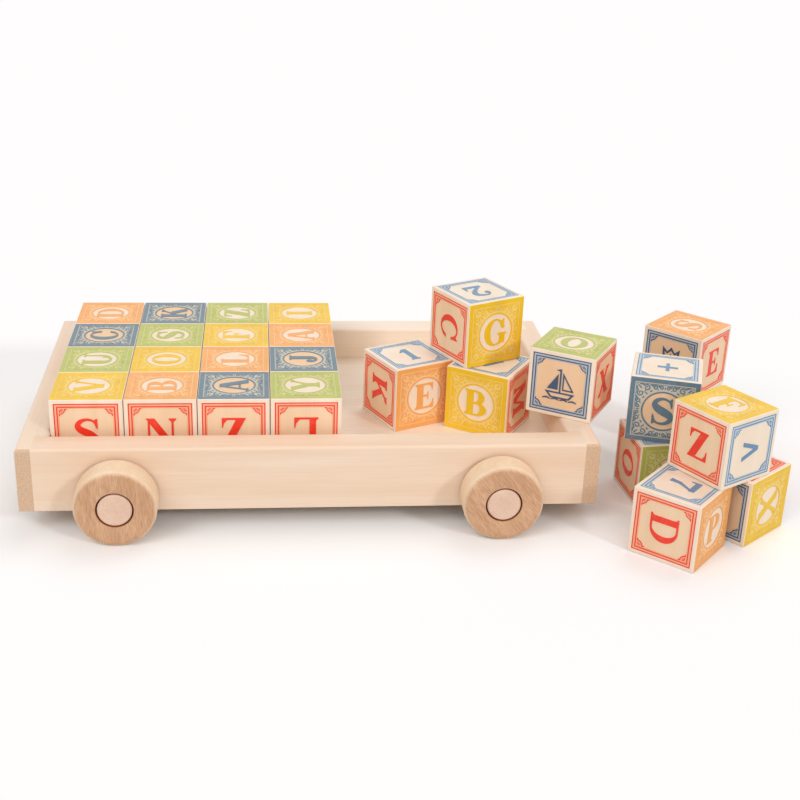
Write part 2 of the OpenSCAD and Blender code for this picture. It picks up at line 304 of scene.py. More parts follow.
        a, b = 0.22, 0.22 + T * 0.9
        return add(*stem(a, b, None, "both"), [(a, 1), (b, 1), (b, 0.9), (a, 0.80), (0.05, 0.74), (0.05, 0.79)])
    if ch == "2":
        bow = [(0.12, 0.74, 0.05), (0.20, 0.90, 0.07), (0.40, 0.965, 0.09), (0.64, 0.88, 0.17), (0.70, 0.70, T)]
        neck = [(0.57, 0.48, 0.17), (0.36, 0.27, 0.12), (0.14, 0.08, 0.10)]
        foot = bar(0.08, 0, 0.78, 0.14), barb(0.82, 0, 1, -1, 0.36)
        return add(ribbon(bow + neck, 4), ellipse(0.19, 0.72, 0.10, 0.10, 18), *foot)
    if ch == "3":
        upper = [(0.14, 0.80, 0.07), (0.26, 0.94, 0.08), (0.44, 0.965, 0.08), (0.62, 0.86, 0.17),
                 (0.60, 0.66, 0.17), (0.40, 0.54, 0.07)]
        lower = [(0.36, 0.54, 0.07), (0.60, 0.48, 0.15), (0.70, 0.28, T), (0.56, 0.07, 0.14),
                 (0.36, 0.03, 0.08), (0.14, 0.20, 0.08)]
        balls = ellipse(0.20, 0.76, 0.09, 0.09, 18), ellipse(0.18, 0.22, 0.10, 0.10, 18)
        return add(ribbon(upper, 4), ribbon(lower, 4), *balls)
    if ch == "4":
        sail = slant(0.10, 0.26, 0.50, 1, 0.09), bar(0.06, 0.24, 0.84, 0.24 + t * 1.3)
        return add(bar(0.46, 0.02, 0.46 + T, 0.98), *sail, serif(0.46, 0.46 + T, 0, 1))
    if ch == "5":
        belly = [(0.18, 0.54, 0.06), (0.40, 0.63, 0.10), (0.62, 0.52, 0.18), (0.68, 0.30, T)]
        tail = [(0.56, 0.08, 0.15), (0.34, 0.03, 0.08), (0.14, 0.18, 0.08)]
        flag = bar(0.16, 0.86, 0.70, 1), bar(0.16, 0.50, 0.23, 0.98)
        return add(*flag, ribbon(belly + tail, 4), ellipse(0.19, 0.20, 0.10, 0.10, 18))
    if ch == "7":
        leg = [(0.70, 0.90), (0.78, 0.90), (0.48, 0.34), (0.46, 0.0), (0.26, 0.0), (0.34, 0.36)]
        return add(bar(0.08, 0.80, 0.78, 1), barb(0.08, 1, -1, 1, 0.38), leg)
    if ch == "+":
        return add(bar(0.435, 0.12, 0.565, 0.88), bar(0.12, 0.435, 0.88, 0.565))
    if ch == ">":
        upper = [(0.10, 0.87), (0.10, 0.71), (0.90, 0.42), (0.90, 0.58)]
        lower = [(0.10, 0.13), (0.10, 0.29), (0.90, 0.58), (0.90, 0.42)]
        return add(upper, lower)
    if ch == "=":
        return add(bar(0.12, 0.58, 0.88, 0.74), bar(0.12, 0.26, 0.88, 0.42))
    raise ValueError(ch)


# ---------------------------------------------------------------- generic pictures, one unit high
def picture(name):
    if name == "boat":
        hull = add([(0.04, 0.27), (0.96, 0.27), (0.80, 0.07), (0.22, 0.07)])
        hull += cut([(0.15, 0.225), (0.85, 0.225), (0.77, 0.115), (0.25, 0.115)])
        mast = add(bar(0.475, 0.27, 0.525, 1.0), [(0.52, 1.0), (0.52, 0.92), (0.36, 0.96)])
        jib = add([(0.57, 0.90), (0.93, 0.34), (0.57, 0.34)]) + cut([(0.61, 0.77), (0.855, 0.38), (0.61, 0.38)])
        main = add([(0.43, 0.84), (0.43, 0.34), (0.10, 0.34)])
        waves = [ribbon([(x, 0.02, 0.03), (x + 0.12, 0.055, 0.045), (x + 0.24, 0.02, 0.03)], 4)
                 for x in (-0.02, 0.25, 0.52, 0.79)]
        return hull + mast + jib + main + add(*waves)
    if name == "sprig":
        out = add(ribbon([(0.50, 0.0, 0.06), (0.47, 0.25, 0.055), (0.52, 0.5, 0.05), (0.50, 0.72, 0.045)], 4))
        for y, side in ((0.06, 1), (0.20, -1), (0.32, 1), (0.46, -1)):
            out += add(leaf(0.5, y, 0.5 + side * 0.40, y + 0.20, 0.20))
            out += cut(leaf(0.5 + side * 0.12, y + 0.065, 0.5 + side * 0.34, y + 0.17, 0.07))
        petals = [ellipse(*polar(0.5, 0.80, 0.14, 0.14, a), 0.095, 0.095, 12) for a in range(0, 360, 60)]
        heart = cut(ellipse(0.5, 0.80, 0.09, 0.09, 12)) + add(ellipse(0.5, 0.80, 0.05, 0.05, 10))
        return out + add(*petals) + heart
    if name == "tulip":
        cup = [(0.22, 0.66), (0.36, 0.53), (0.64, 0.53), (0.78, 0.66), (0.80, 0.98), (0.63, 0.83), (0.50, 1.0),
               (0.37, 0.83), (0.20, 0.98)]
        inner = [(0.29, 0.68), (0.39, 0.59), (0.61, 0.59), (0.71, 0.68), (0.725, 0.84), (0.63, 0.76),
                 (0.50, 0.89), (0.37, 0.76), (0.275, 0.84)]
        leaves = [leaf(0.5, 0.02, 0.5 + s * 0.42, 0.46, 0.18) for s in (1, -1)]
        veins = [leaf(0.5 + s * 0.09, 0.12, 0.5 + s * 0.33, 0.37, 0.06) for s in (1, -1)]
        stalk, heart = bar(0.475, 0, 0.525, 0.55), leaf(0.5, 0.56, 0.5, 0.80, 0.07)
        return add(stalk, *leaves, cup) + cut(inner, *veins) + add(heart)
    raise ValueError(name)


def placed(parts, mx, height, turn):
    """A letter or picture in face millimetres, centred and turned by quarter turns to the left."""
    return [(quarters([((x - mx) * height, (y - 0.5) * height) for x, y in poly], turn), adds)
            for poly, adds in parts]


def placed_glyph(ch, height, turn, T):
    parts = glyph(ch, T)
    xs = [x for poly, adds in parts if adds for x, _ in poly]
    return placed(parts, (min(xs) + max(xs)) / 2, height, turn)


# ---------------------------------------------------------------- ornament of the coloured faces
def eighth():
    """Ink curls, leaves and dots of the field's eighth between 0 and 45 degrees."""
    w, e = 0.94, 0.66
    return [
        curl(15.15, 11.30, 2.25, 0.50, 50, -420, w, e, [(17.5, 15.9), (17.5, 14.6), (17.0, 13.2)]),
        curl(15.95, 6.15, 1.75, 0.45, 70, -390, w, e, [(17.5, 9.3), (17.2, 8.1)]),
        curl(16.05, 2.20, 1.35, 0.40, 80, -340, w, e, [(17.4, 4.5), (17.1, 3.7)]),
        leaf(12.3, 9.3, 13.9, 7.6, 1.0),
        leaf(14.5, 15.0, 16.6, 16.2, 0.9),
        ellipse(14.55, 4.3, 0.45, 0.45, 8),
        ellipse(13.0, 12.1, 0.42, 0.42, 8),
    ]


def field_marks():
    base = eighth()
    once = [leaf(10.5, 10.5, 12.4, 12.4, 1.0), leaf(17.4, 17.4, 14.2, 14.2, 1.1), leaf(14.6, 0, 17.4, 0, 0.8)]
    return [quarters(poly, k) for k in range(4) for poly in base + [mirrored(p) for p in base] + once]


FIELD = field_marks()


def corner_marks(k):
    """[(outline, level is ink)] of one corner of a line face, about the block's middle."""
    w, far = CORNER_LINE, k - CORNER_R - CORNER_STEP

    def pie(r):
        return [(k, k)] + arc(k, k, r, r, 180, 270, 40)

    def ray(degrees):
        near, end = CORNER_STEP, CORNER_R - CORNER_STEP
        return leaf(*polar(k, k, near, near, degrees), *polar(k, k, end, end, degrees), w)

    steps = add(bar(far, k - w, k, k), bar(k - w, far, k, k), pie(CORNER_R)) + cut(pie(CORNER_R - w))
    return steps + add(*[ray(degrees) for degrees in (197, 225, 253)])


# ---------------------------------------------------------------- one printed face
def face_layers(kind, sign, turn):
    """[(outline, level, slot)] painted in order over the face's flat square."""
    if kind == "colour":
        layers = [(square(FLAT), RAISED, INK), (square(FRAME_OUT), MIDDLE, TINT),
                  (square(FRAME_IN), RAISED, INK), (square(FIELD_AT), MIDDLE, TINT)]
        layers += [(p, RAISED, INK) for p in FIELD]
        layers += [(ellipse(0, 0, RING_R, RING_R, 64), RAISED, INK), (ellipse(0, 0, DISC_R, DISC_R, 64), LOW, DISC)]
        marks = placed_glyph(sign, COLOUR_LETTER, turn, COLOUR_STROKE)
        return layers + [(p, RAISED, INK) if adds else (p, LOW, DISC) for p, adds in marks]
    ink_slot, film, ground = LINE_SLOTS[kind]
    layers = [(square(FLAT), RAISED, WOOD)]
    for outer, inner in LINES_AT:
        layers += [(square(outer), RAISED, ink_slot), (square(inner), MIDDLE, film)]
    layers.append((square(PANEL_AT), LOW, ground))
    for q in range(4):
        layers += [(quarters(p, q), RAISED, ink_slot) if inked else (quarters(p, q), MIDDLE, film)
                   for p, inked in corner_marks(PANEL_AT)]
    if kind == "navy":
        marks = placed(picture(sign), 0.5, PICTURE, turn)
    elif sign in "+>=":
        marks = placed_glyph(sign, LINE_SIGN, turn, LINE_STROKE)
    else:
        marks = placed_glyph(sign, LINE_LETTER, turn, LINE_STROKE)
    return layers + [(p, RAISED, ink_slot) if adds else (p, LOW, ground) for p, adds in marks]


def inside(poly, pts):
    """Which points the outline winds round."""
    p = np.array(poly)
    q = np.roll(p, -1, 0)
    x, y = pts[:, :1], pts[:, 1:]
    up = (p[:, 1] <= y) & (q[:, 1] > y)
    down = (p[:, 1] > y) & (q[:, 1] <= y)
    cross = (q[:, 0] - p[:, 0]) * (y - p[:, 1]) - (x - p[:, 0]) * (q[:, 1] - p[:, 1])
    return ((up & (cross > 0)).sum(1) - (down & (cross < 0)).sum(1)) != 0


FACES = {}


def flat_face(kind, sign, turn):
    """(corners, faces, slots) of the flat part of a face, about its middle, with the printed level at 0."""
    key = (kind, sign, turn % 4)
    if key in FACES:
        return FACES[key]
    layers = face_layers(*key)
    points, edges = [], []
    for poly, _, _ in layers:
        n = len(points)
        points += poly
        edges += [(n + i, n + (i + 1) % len(poly)) for i in range(len(poly))]
    verts, _, tris, _, _, _ = delaunay_2d_cdt([Vector(p) for p in points], edges, [], 0, 1e-3)
    verts = np.array([tuple(v) for v in verts])
    tris = np.array([t for t in tris])
    middle = verts[tris].mean(1)
    level = np.full(len(tris), RAISED)
    slot = np.full(len(tris), WOOD)
    for poly, lev, sl in layers:
        box = np.array(poly)
        which = np.flatnonzero(((middle >= box.min(0)) & (middle <= box.max(0))).all(1))
        if len(which):
            which = which[inside(poly, middle[which])]
            level[which], slot[which] = lev, sl
    corners, index = [], {}

    def corner(i, lev):
        if (i, lev) not in index:
            index[i, lev] = len(corners)
            corners.append((verts[i][0], verts[i][1], DEPTHS[lev]))
        return index[i, lev]

    def upright(i, low, high):
        """A wall's corners at one end, going up, with the middle level's where three levels meet."""
        return [corner(i, lev) for lev in range(low, high + 1) if lev in (low, high) or (i, lev) in index]

    faces, slots, sides = [], [], {}
    for t, lev, sl in zip(tris.tolist(), level.tolist(), slot.tolist()):
        faces.append(tuple(corner(i, lev) for i in t))
        slots.append(sl)
        for a, b in zip(t, t[1:] + t[:1]):
            sides[a, b] = (lev, sl)
    for (a, b), (lev, sl) in sides.items():
        other = sides.get((b, a))
        if other and lev > other[0]:
            faces.append((*upright(b, other[0], lev), *upright(a, other[0], lev)[::-1]))
            slots.append(sl)
    FACES[key] = (np.array(corners), faces, slots)
    return FACES[key]


def edge_strips():
    """(corners, faces, which are inked) of one face's rounded border, about the block's middle, the face up."""
    angles = [-45 + 45 * i / EDGE_STEPS for i in range(EDGE_STEPS + 1)]
    lines = [(-FLAT, a) for a in angles] + [(FLAT, -a) for a in angles[::-1]]
    corners, faces, inked = [], [], []
    for cu, au in lines:
        for cv, av in lines:
            d = Vector((math.tan(math.radians(au)), math.tan(math.radians(av)), 1)).normalized() * EDGE_R
            corners.append((cu + d.x, cv + d.y, FLAT + d.z))
    n = len(lines)
    for i in range(n - 1):
        for j in range(n - 1):
            ring = round(max(abs(i - (n - 2) / 2), abs(j - (n - 2) / 2)))
            if ring:
                faces.append((i * n + j, (i + 1) * n + j, (i + 1) * n + j + 1, i * n + j + 1))
                inked.append(ring <= INKED_STEPS)
    return np.array(corners), faces, inked


STRIPS = edge_strips()
CELLS, CELL_USED = (3, 2), 0.98   # the UV map's cells, one for each side, and the share of a cell in use
# face: (direction of its u, direction of its v); the outward direction is u x v
SIDES = {
    "top": ((1, 0, 0), (0, 1, 0)),
    "bottom": ((1, 0, 0), (0, -1, 0)),
    "front": ((1, 0, 0), (0, 0, 1)),
    "back": ((-1, 0, 0), (0, 0, 1)),
    "right": ((0, 1, 0), (0, 0, 1)),
    "left": ((0, -1, 0), (0, 0, 1)),
}


def block_mesh(name, prints, place, seed):
    """One block put in place. prints: {side: (kind, sign, turn)}. Each side has its own cell of the UV map."""
    corners, polys, slots, maps, tones = [], [], [], [], []
    rng = np.random.default_rng(seed)
    base = 0
    for number, (side, (u, v)) in enumerate(SIDES.items()):
        n = Vector(u).cross(Vector(v))
        flat, flat_polys, flat_slots = flat_face(*prints[side])
        strip, strip_polys, inked = STRIPS
        both = np.vstack([flat + np.array([0, 0, HALF]), strip])
        corners.append(both @ np.array([u, v, tuple(n)], float))
        cell = np.array([number % CELLS[0], number // CELLS[0]])
        maps.append((cell + 0.5 + both[:, :2] / SIDE * CELL_USED) / CELLS)
        polys += [tuple(base + i for i in p) for p in flat_polys]
        polys += [tuple(base + len(flat) + i for i in p) for p in strip_polys]
        slots += flat_slots + [INK if prints[side][0] == "colour" and s else WOOD for s in inked]
        tones += [rng.random()] * (len(flat_polys) + len(strip_polys))
        base += len(both)
    corners, maps = np.vstack(corners) * MM, np.vstack(maps)
    mesh = bpy.data.meshes.new(name)
    mesh.from_pydata(corners.tolist(), [], polys)
    mesh.polygons.foreach_set("material_index", slots)
    loops = np.zeros(len(mesh.loops), dtype=np.int32)
    mesh.loops.foreach_get("vertex_index", loops)
    mesh.uv_layers.new(name="OFBake").data.foreach_set("uv", maps[loops].astype(np.float32).ravel())
    mesh.attributes.new("tone", "FLOAT", "FACE").data.foreach_set("value", np.array(tones, np.float32))
    own = corners + rng.random(3) * 2
    timber = mesh.attributes.new("timber", "FLOAT_VECTOR", "POINT").data
    timber.foreach_set("vector", own.astype(np.float32).ravel())
    mesh.transform(place)
    mesh.update()
    return mesh


# ---------------------------------------------------------------- materials
PORE_DEPTH = 0.0003       # metres: how deep the bump of wood and ink goes
COAT = 0.35               # weight and roughness of the ink's satin film
BARE_WOOD = (238, 212, 176)  # what shows where the ink is worn


def linear(rgb):
    return (*[c / 3294.6 if c <= 10 else ((c / 255 + 0.055) / 1.055) ** 2.4 for c in rgb], 1)


def shade(rgb, k):
    return tuple(c * k for c in rgb)


class Nodes:
    """A few shorthands for one material's nodes."""

    def __init__(self, name, roughness, specular=0.5):
        self.material = bpy.data.materials.new(name)
        self.material.use_nodes = True
        self.tree = self.material.node_tree
        self.shader = self.tree.nodes["Principled BSDF"]
        self.shader.inputs["Roughness"].default_value = roughness
        self.shader.inputs["Specular IOR Level"].default_value = specular

    def put(self, node, key, value):
        socket = node.inputs[key]
        if isinstance(value, bpy.types.NodeSocket):
            self.tree.links.new(value, socket)
        else:
            socket.default_value = value

    def add(self, kind, **inputs):
        node = self.tree.nodes.new(kind)
        for key, value in inputs.items():
            self.put(node, key.replace("_", " "), value)
        return node

    def coords(self, scale, own=False):
        if own:
            where = self.add("ShaderNodeAttribute")
            where.attribute_name = "timber"
            return self.add("ShaderNodeMapping", Vector=where.outputs["Vector"], Scale=scale).outputs[0]
        where = self.add("ShaderNodeTexCoord").outputs["Object"]
        return self.add("ShaderNodeMapping", Vector=where, Scale=scale).outputs[0]

    def noise(self, vector, detail=3.0, roughness=0.5, distortion=0.0):
        node = self.add("ShaderNodeTexNoise", Vector=vector, Scale=1.0, Detail=detail, Roughness=roughness,
                        Distortion=distortion)
        return node.outputs["Fac"]

    def ramp(self, value, low, high, a=0.0, b=1.0):
        node = self.add("ShaderNodeMapRange", Value=value)
        for key, x in (("From Min", low), ("From Max", high), ("To Min", a), ("To Max", b)):
            node.inputs[key].default_value = x
        return node.outputs[0]

    def mix(self, factor, a, b):
        node = self.tree.nodes.new("ShaderNodeMix")
        node.data_type = "RGBA"
        self.put(node, "Factor", factor)
        first, second = [k for k, s in enumerate(node.inputs) if s.type == "RGBA"]
        self.put(node, first, a)
        self.put(node, second, b)
        return [s for s in node.outputs if s.type == "RGBA"][0]

    def math(self, what, a, b=0.0):
        node = self.tree.nodes.new("ShaderNodeMath")
        node.operation = what
        self.put(node, 0, a)
        self.put(node, 1, b)
        return node.outputs[0]

    def finish(self, colour, bump, strength, roughness):
        self.put(self.shader, "Base Color", colour)
        node = self.add("ShaderNodeBump", Height=bump, Strength=strength, Distance=PORE_DEPTH)
        self.put(self.shader, "Normal", node.outputs[0])
        self.put(self.shader, "Roughness", roughness)
        return self.material


def grain(n, along, own=False):
    """(broad bands, fine streaks) of wood whose fibres run along an axis."""
    k = "XYZ".index(along)
    broad, streak = [70.0] * 3, [900.0] * 3
    broad[k], streak[k] = 5.0, 22.0
    return n.noise(n.coords(broad, own), 3.0, 0.55, 0.6), n.noise(n.coords(streak, own), 3.0, 0.6)


def block_wood(name, rgb):
    """Bare wood of the blocks; each side has its own tone."""
    n = Nodes(name, 0.5)
    broad, fine = grain(n, "Z", True)
    side = n.add("ShaderNodeAttribute")
    side.attribute_name = "tone"
    dark = tuple(c * k for c, k in zip(rgb, (0.975, 0.95, 0.915)))
    body = n.mix(n.ramp(broad, 0.3, 0.7), linear(rgb), linear(dark))
    body = n.mix(n.ramp(fine, 0.42, 0.75, 0, 0.2), body, linear(shade(dark, 0.93)))
    body = n.mix(n.ramp(side.outputs["Fac"], 0, 1, 0, 0.3), body, linear(dark))
    return n.finish(body, fine, 0.12, n.ramp(fine, 0.3, 0.8, 0.44, 0.58))


def ink(name, rgb, bare):
    """Printed colour over the wood, a little worn where the noise is high."""
    n = Nodes(name, 0.45, 0.4)
    n.shader.inputs["Coat Weight"].default_value = COAT
    n.shader.inputs["Coat Roughness"].default_value = COAT
    broad, fine = grain(n, "Z", True)
    body = n.mix(n.ramp(broad, 0.3, 0.7), linear(rgb), linear(shade(rgb, 0.94)))
    worn = n.noise(n.coords((260, 260, 260), True), 4.0, 0.6)
    body = n.mix(n.ramp(worn, 0.56, 0.80, 0, bare * 3), body, linear(BARE_WOOD))
    body = n.mix(n.ramp(fine, 0.5, 0.8, 0, bare), body, linear(BARE_WOOD))
    return n.finish(body, worn, 0.10, n.ramp(worn, 0.3, 0.8, 0.38, 0.55))


def board_wood(name, along, pale, dark, end=None):
    """A board whose fibres run along an axis. end is the colour of its end grain, where that shows."""
    n = Nodes(name, 0.5)
    broad, fine = grain(n, along)
    body = n.mix(n.ramp(broad, 0.32, 0.70), linear(pale), linear(dark))
    body = n.mix(n.ramp(fine, 0.45, 0.80, 0, 0.25), body, linear(shade(dark, 0.9)))
    if end:
        normal = n.add("ShaderNodeNewGeometry").outputs["Normal"]
        parts = n.add("ShaderNodeSeparateXYZ", Vector=normal)
        pores = n.noise(n.coords((1500, 1500, 1500)), 2.0, 0.6)
        ends = n.mix(n.ramp(pores, 0.35, 0.7), linear(end), linear(shade(end, 0.9)))
        body = n.mix(n.ramp(n.math("ABSOLUTE", parts.outputs[along]), 0.2, 0.5), body, ends)
    return n.finish(body, fine, 0.12, n.ramp(fine, 0.3, 0.8, 0.44, 0.58))


RECESS_SHADE = (0.0113, 0.0117)   # metres from the axle: where the painted shade in and round a wheel's recess starts to fade, and ends
TURNING = 2400.0              # radians in a metre: how close the faint turning rings are


def wheel_wood(name, centre, slope):
    """A turned wheel's tan face with flecks along the grain, its paler rim, and painted shade in and round the
    recess.
    """
    n = Nodes(f"{name}_wood", 0.5)
    where = n.add("ShaderNodeTexCoord").outputs["Object"]
    own = n.add("ShaderNodeVectorMath", Vector=where)
    own.operation = "SUBTRACT"
    own.inputs[1].default_value = centre
    turned = n.add("ShaderNodeVectorRotate", Vector=own.outputs[0], Angle=math.radians(slope))
    turned.rotation_type = "Y_AXIS"

    def spread(scale):
        return n.add("ShaderNodeMapping", Vector=turned.outputs[0], Scale=scale).outputs[0]

    broad = n.noise(spread((150, 60, 24)), 3.0, 0.55, 0.5)
    fleck = n.noise(spread((1400, 500, 170)), 3.0, 0.65)
    face = n.mix(n.ramp(broad, 0.3, 0.7), linear((227, 182, 143)), linear((206, 157, 118)))
    face = n.mix(n.ramp(fleck, 0.42, 0.70, 0, 0.7), face, linear((176, 124, 86)))
    rim = n.mix(n.ramp(broad, 0.3, 0.7), linear((246, 220, 188)), linear((238, 206, 170)))
    rim = n.mix(n.ramp(fleck, 0.5, 0.75, 0, 0.4), rim, linear((216, 176, 136)))
    normal = n.add("ShaderNodeSeparateXYZ", Vector=n.add("ShaderNodeNewGeometry").outputs["Normal"])
    body = n.mix(n.ramp(n.math("ABSOLUTE", normal.outputs["Y"]), 0.55, 0.95), rim, face)
    place = n.add("ShaderNodeSeparateXYZ", Vector=own.outputs[0])
    across = n.math("ADD", n.math("POWER", place.outputs["X"], 2.0), n.math("POWER", place.outputs["Z"], 2.0))
    radius = n.math("SQRT", across)
    turning = n.math("ABSOLUTE", n.math("SINE", n.math("MULTIPLY", radius, TURNING)))
    body = n.mix(n.ramp(turning, 0.6, 1.0, 0, 0.10), body, linear((160, 112, 78)))
    # painted shade: the recess, its bore and a thin ring of the face round it are darkened as if in shadow
    body = n.mix(n.ramp(radius, *RECESS_SHADE, 1, 0), body, linear((158, 92, 50)))
    return n.finish(body, fleck, 0.2, n.ramp(fleck, 0.3, 0.8, 0.42, 0.6))


def peg_wood():
    n = Nodes("peg_wood", 0.5)
    pores = n.noise(n.coords((1100, 1100, 1100)), 3.0, 0.65)
    broad = n.noise(n.coords((140, 140, 140)), 2.0)
    body = n.mix(n.ramp(broad, 0.3, 0.7), linear((234, 200, 176)), linear((228, 190, 166)))
    body = n.mix(n.ramp(pores, 0.5, 0.75, 0, 0.5), body, linear((202, 156, 126)))
    return n.finish(body, pores, 0.15, n.ramp(pores, 0.3, 0.8, 0.42, 0.6))


WOOD_M = block_wood("block_wood", (252, 236, 218))
PALE_M = block_wood("panel_wood", (250, 219, 184))
TAN_M = block_wood("tan_wood", (247, 210, 172))
# each colour: its ink, the stained ground of its field, its disc's bare wood
COLOURS = {
    "orange": (ink("orange_ink", (251, 174, 92), 0.08), block_wood("orange_ground", (253, 208, 152)), WOOD_M),
    "blue": (ink("blue_ink", (98, 127, 143), 0.06), block_wood("blue_ground", (209, 203, 190)), TAN_M),
    "green": (ink("green_ink", (190, 196, 94), 0.08), block_wood("green_ground", (220, 218, 152)), WOOD_M),
    "yellow": (ink("yellow_ink", (248, 201, 12), 0.02), block_wood("yellow_ground", (250, 219, 128)), WOOD_M),
}
# each line colour: its ink, the film of it between the frame's lines, the panel's wood
LINES = (
    (ink("red_line_ink", (250, 56, 30), 0.05), block_wood("red_film", (252, 186, 150)), PALE_M),
    (ink("blue_line_ink", (104, 146, 182), 0.06), block_wood("blue_film", (206, 218, 226))),
    (ink("navy_line_ink", (60, 86, 120), 0.05), block_wood("navy_film", (190, 200, 212)), TAN_M),
)

# ---------------------------------------------------------------- the tray keeps its solids, the wheels are turned
FRONT = board_wood("front_board_wood", "X", (244, 219, 194), (239, 207, 178))
# painted light: the back board's wood is a paler copy of the front board's, standing in for the light that the back
# board catches
LIT_BACK = board_wood("back_board_lit_wood", "X", (252, 236, 217), (249, 228, 205))
SHORT = board_wood("short_board_wood", "Y", (248, 225, 201), (244, 215, 188), end=(224, 188, 154))
# painted light: the tray floor's wood is made near white, paler than the boards, to stand in for the light that
# falls into the tray
LIT_PANEL = board_wood("bare_panel_lit_wood", "X", (254, 240, 222), (251, 232, 209))
PEG = peg_wood()
DRESS = {"front_board": FRONT, "back_board": LIT_BACK, "left_end_board": SHORT, "right_end_board": SHORT,
         "tray_floor": LIT_PANEL}

# half profile of a wheel, in millimetres: the radius, and the distance from its side towards the tray
WHEEL_R, WHEEL_T = 25.0, 19.0
INNER_ROUND, OUTER_ROUND, RECESS_ROUND = 2.0, 3.5, 0.5
BORE_R, RECESS_R, RECESS_FLOOR = 4.83, 11.2, 12.5
WHEEL_PROFILE = ([(BORE_R, 0.0)]
                 + arc(WHEEL_R - INNER_ROUND, INNER_ROUND, INNER_ROUND, INNER_ROUND, -90, 0, 20)
                 + arc(WHEEL_R - OUTER_ROUND, WHEEL_T - OUTER_ROUND, OUTER_ROUND, OUTER_ROUND, 0, 90, 32)
                 + arc(RECESS_R + RECESS_ROUND, WHEEL_T - RECESS_ROUND, RECESS_ROUND, RECESS_ROUND, 90, 180, 16)
                 + [(RECESS_R, RECESS_FLOOR), (BORE_R, RECESS_FLOOR)])


def turned_wheel(node, material):
    """A wheel turned about its hub, with soft rims, a bore, and the recess that the peg's head sits in."""
    low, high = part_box(node)
    hub = (low + high) / 2
    outward = 1.0 if hub.y > 0 else -1.0
    turns, count = 96, len(WHEEL_PROFILE)
    verts = []
    for k in range(turns):
        a = 2 * math.pi * k / turns
        for radius, depth in WHEEL_PROFILE:
            verts.append((hub.x + radius * MM * math.cos(a), hub.y + outward * (depth - WHEEL_T / 2) * MM,
                          hub.z + radius * MM * math.sin(a)))
    faces = []
    for k in range(turns):
        here, there = k * count, (k + 1) % turns * count
        for j in range(count):
            i = (j + 1) % count
            face = (here + j, here + i, there + i, there + j)
            faces.append(face if outward > 0 else face[::-1])
    mesh = bpy.data.meshes.new(f"{node}_turned")
    mesh.from_pydata(verts, [], faces)
    mesh.shade_smooth()
    mesh.set_sharp_from_angle(angle=math.radians(40))
    mesh.materials.append(material)
    piece = bpy.data.objects.new(f"{node}_turned", mesh)
    bpy.context.scene.collection.objects.link(piece)
    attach(piece, node)
    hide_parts(node)


for corner_name, slope in (("front_left", 4), ("front_right", 38), ("back_left", -20), ("back_right", 65)):
    wheel_name = f"wheel_{corner_name}"
    low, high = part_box(wheel_name)
    turned_wheel(wheel_name, wheel_wood(wheel_name, (low + high) / 2, slope))
    DRESS[f"axle_peg_{corner_name}"] = PEG
for node_name, material in DRESS.items():
    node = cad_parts[node_name]
    node.data.materials.clear()
    node.data.materials.append(material)

# ---------------------------------------------------------------- blocks: what is printed on each side
CYCLE = ["orange", "blue", "green", "yellow"]
TOPS = ["DKZI", "CSFA", "UOLJ", "VBAY"]              # back row first
UNDERS = ["PTHR", "GNEW", "MXBF", "SKUD"]
FRONTS = ["HAPR", "EXUM", "BTFG", "SNZL"]
BACKS = ["TDIV", "WOSK", "RACY", "JMHE"]
DIGITS = ["1234", "5712", "3457", "2135"]
SIGNS = ["+=>4", "1>+7", "=5+2", ">1=3"]
BLOCKS = {}    # name: (turn about +Z in degrees, colour, {side: (kind, sign, quarter turns)})
for r in range(4):
    for c in range(4):
        BLOCKS[f"packed_block_row{4 - r}_col{c + 1}"] = (0.0, CYCLE[(r + c) % 4], {
            "top": ("colour", TOPS[r][c], 1), "bottom": ("colour", UNDERS[r][c], 3),
            "front": ("red", FRONTS[r][c], 2), "back": ("red", BACKS[r][c], 0),
            "right": ("blue", DIGITS[r][c], 0),
            "left": ("navy", "boat", 1) if (r + c) % 2 else ("blue", SIGNS[r][c], 0)})
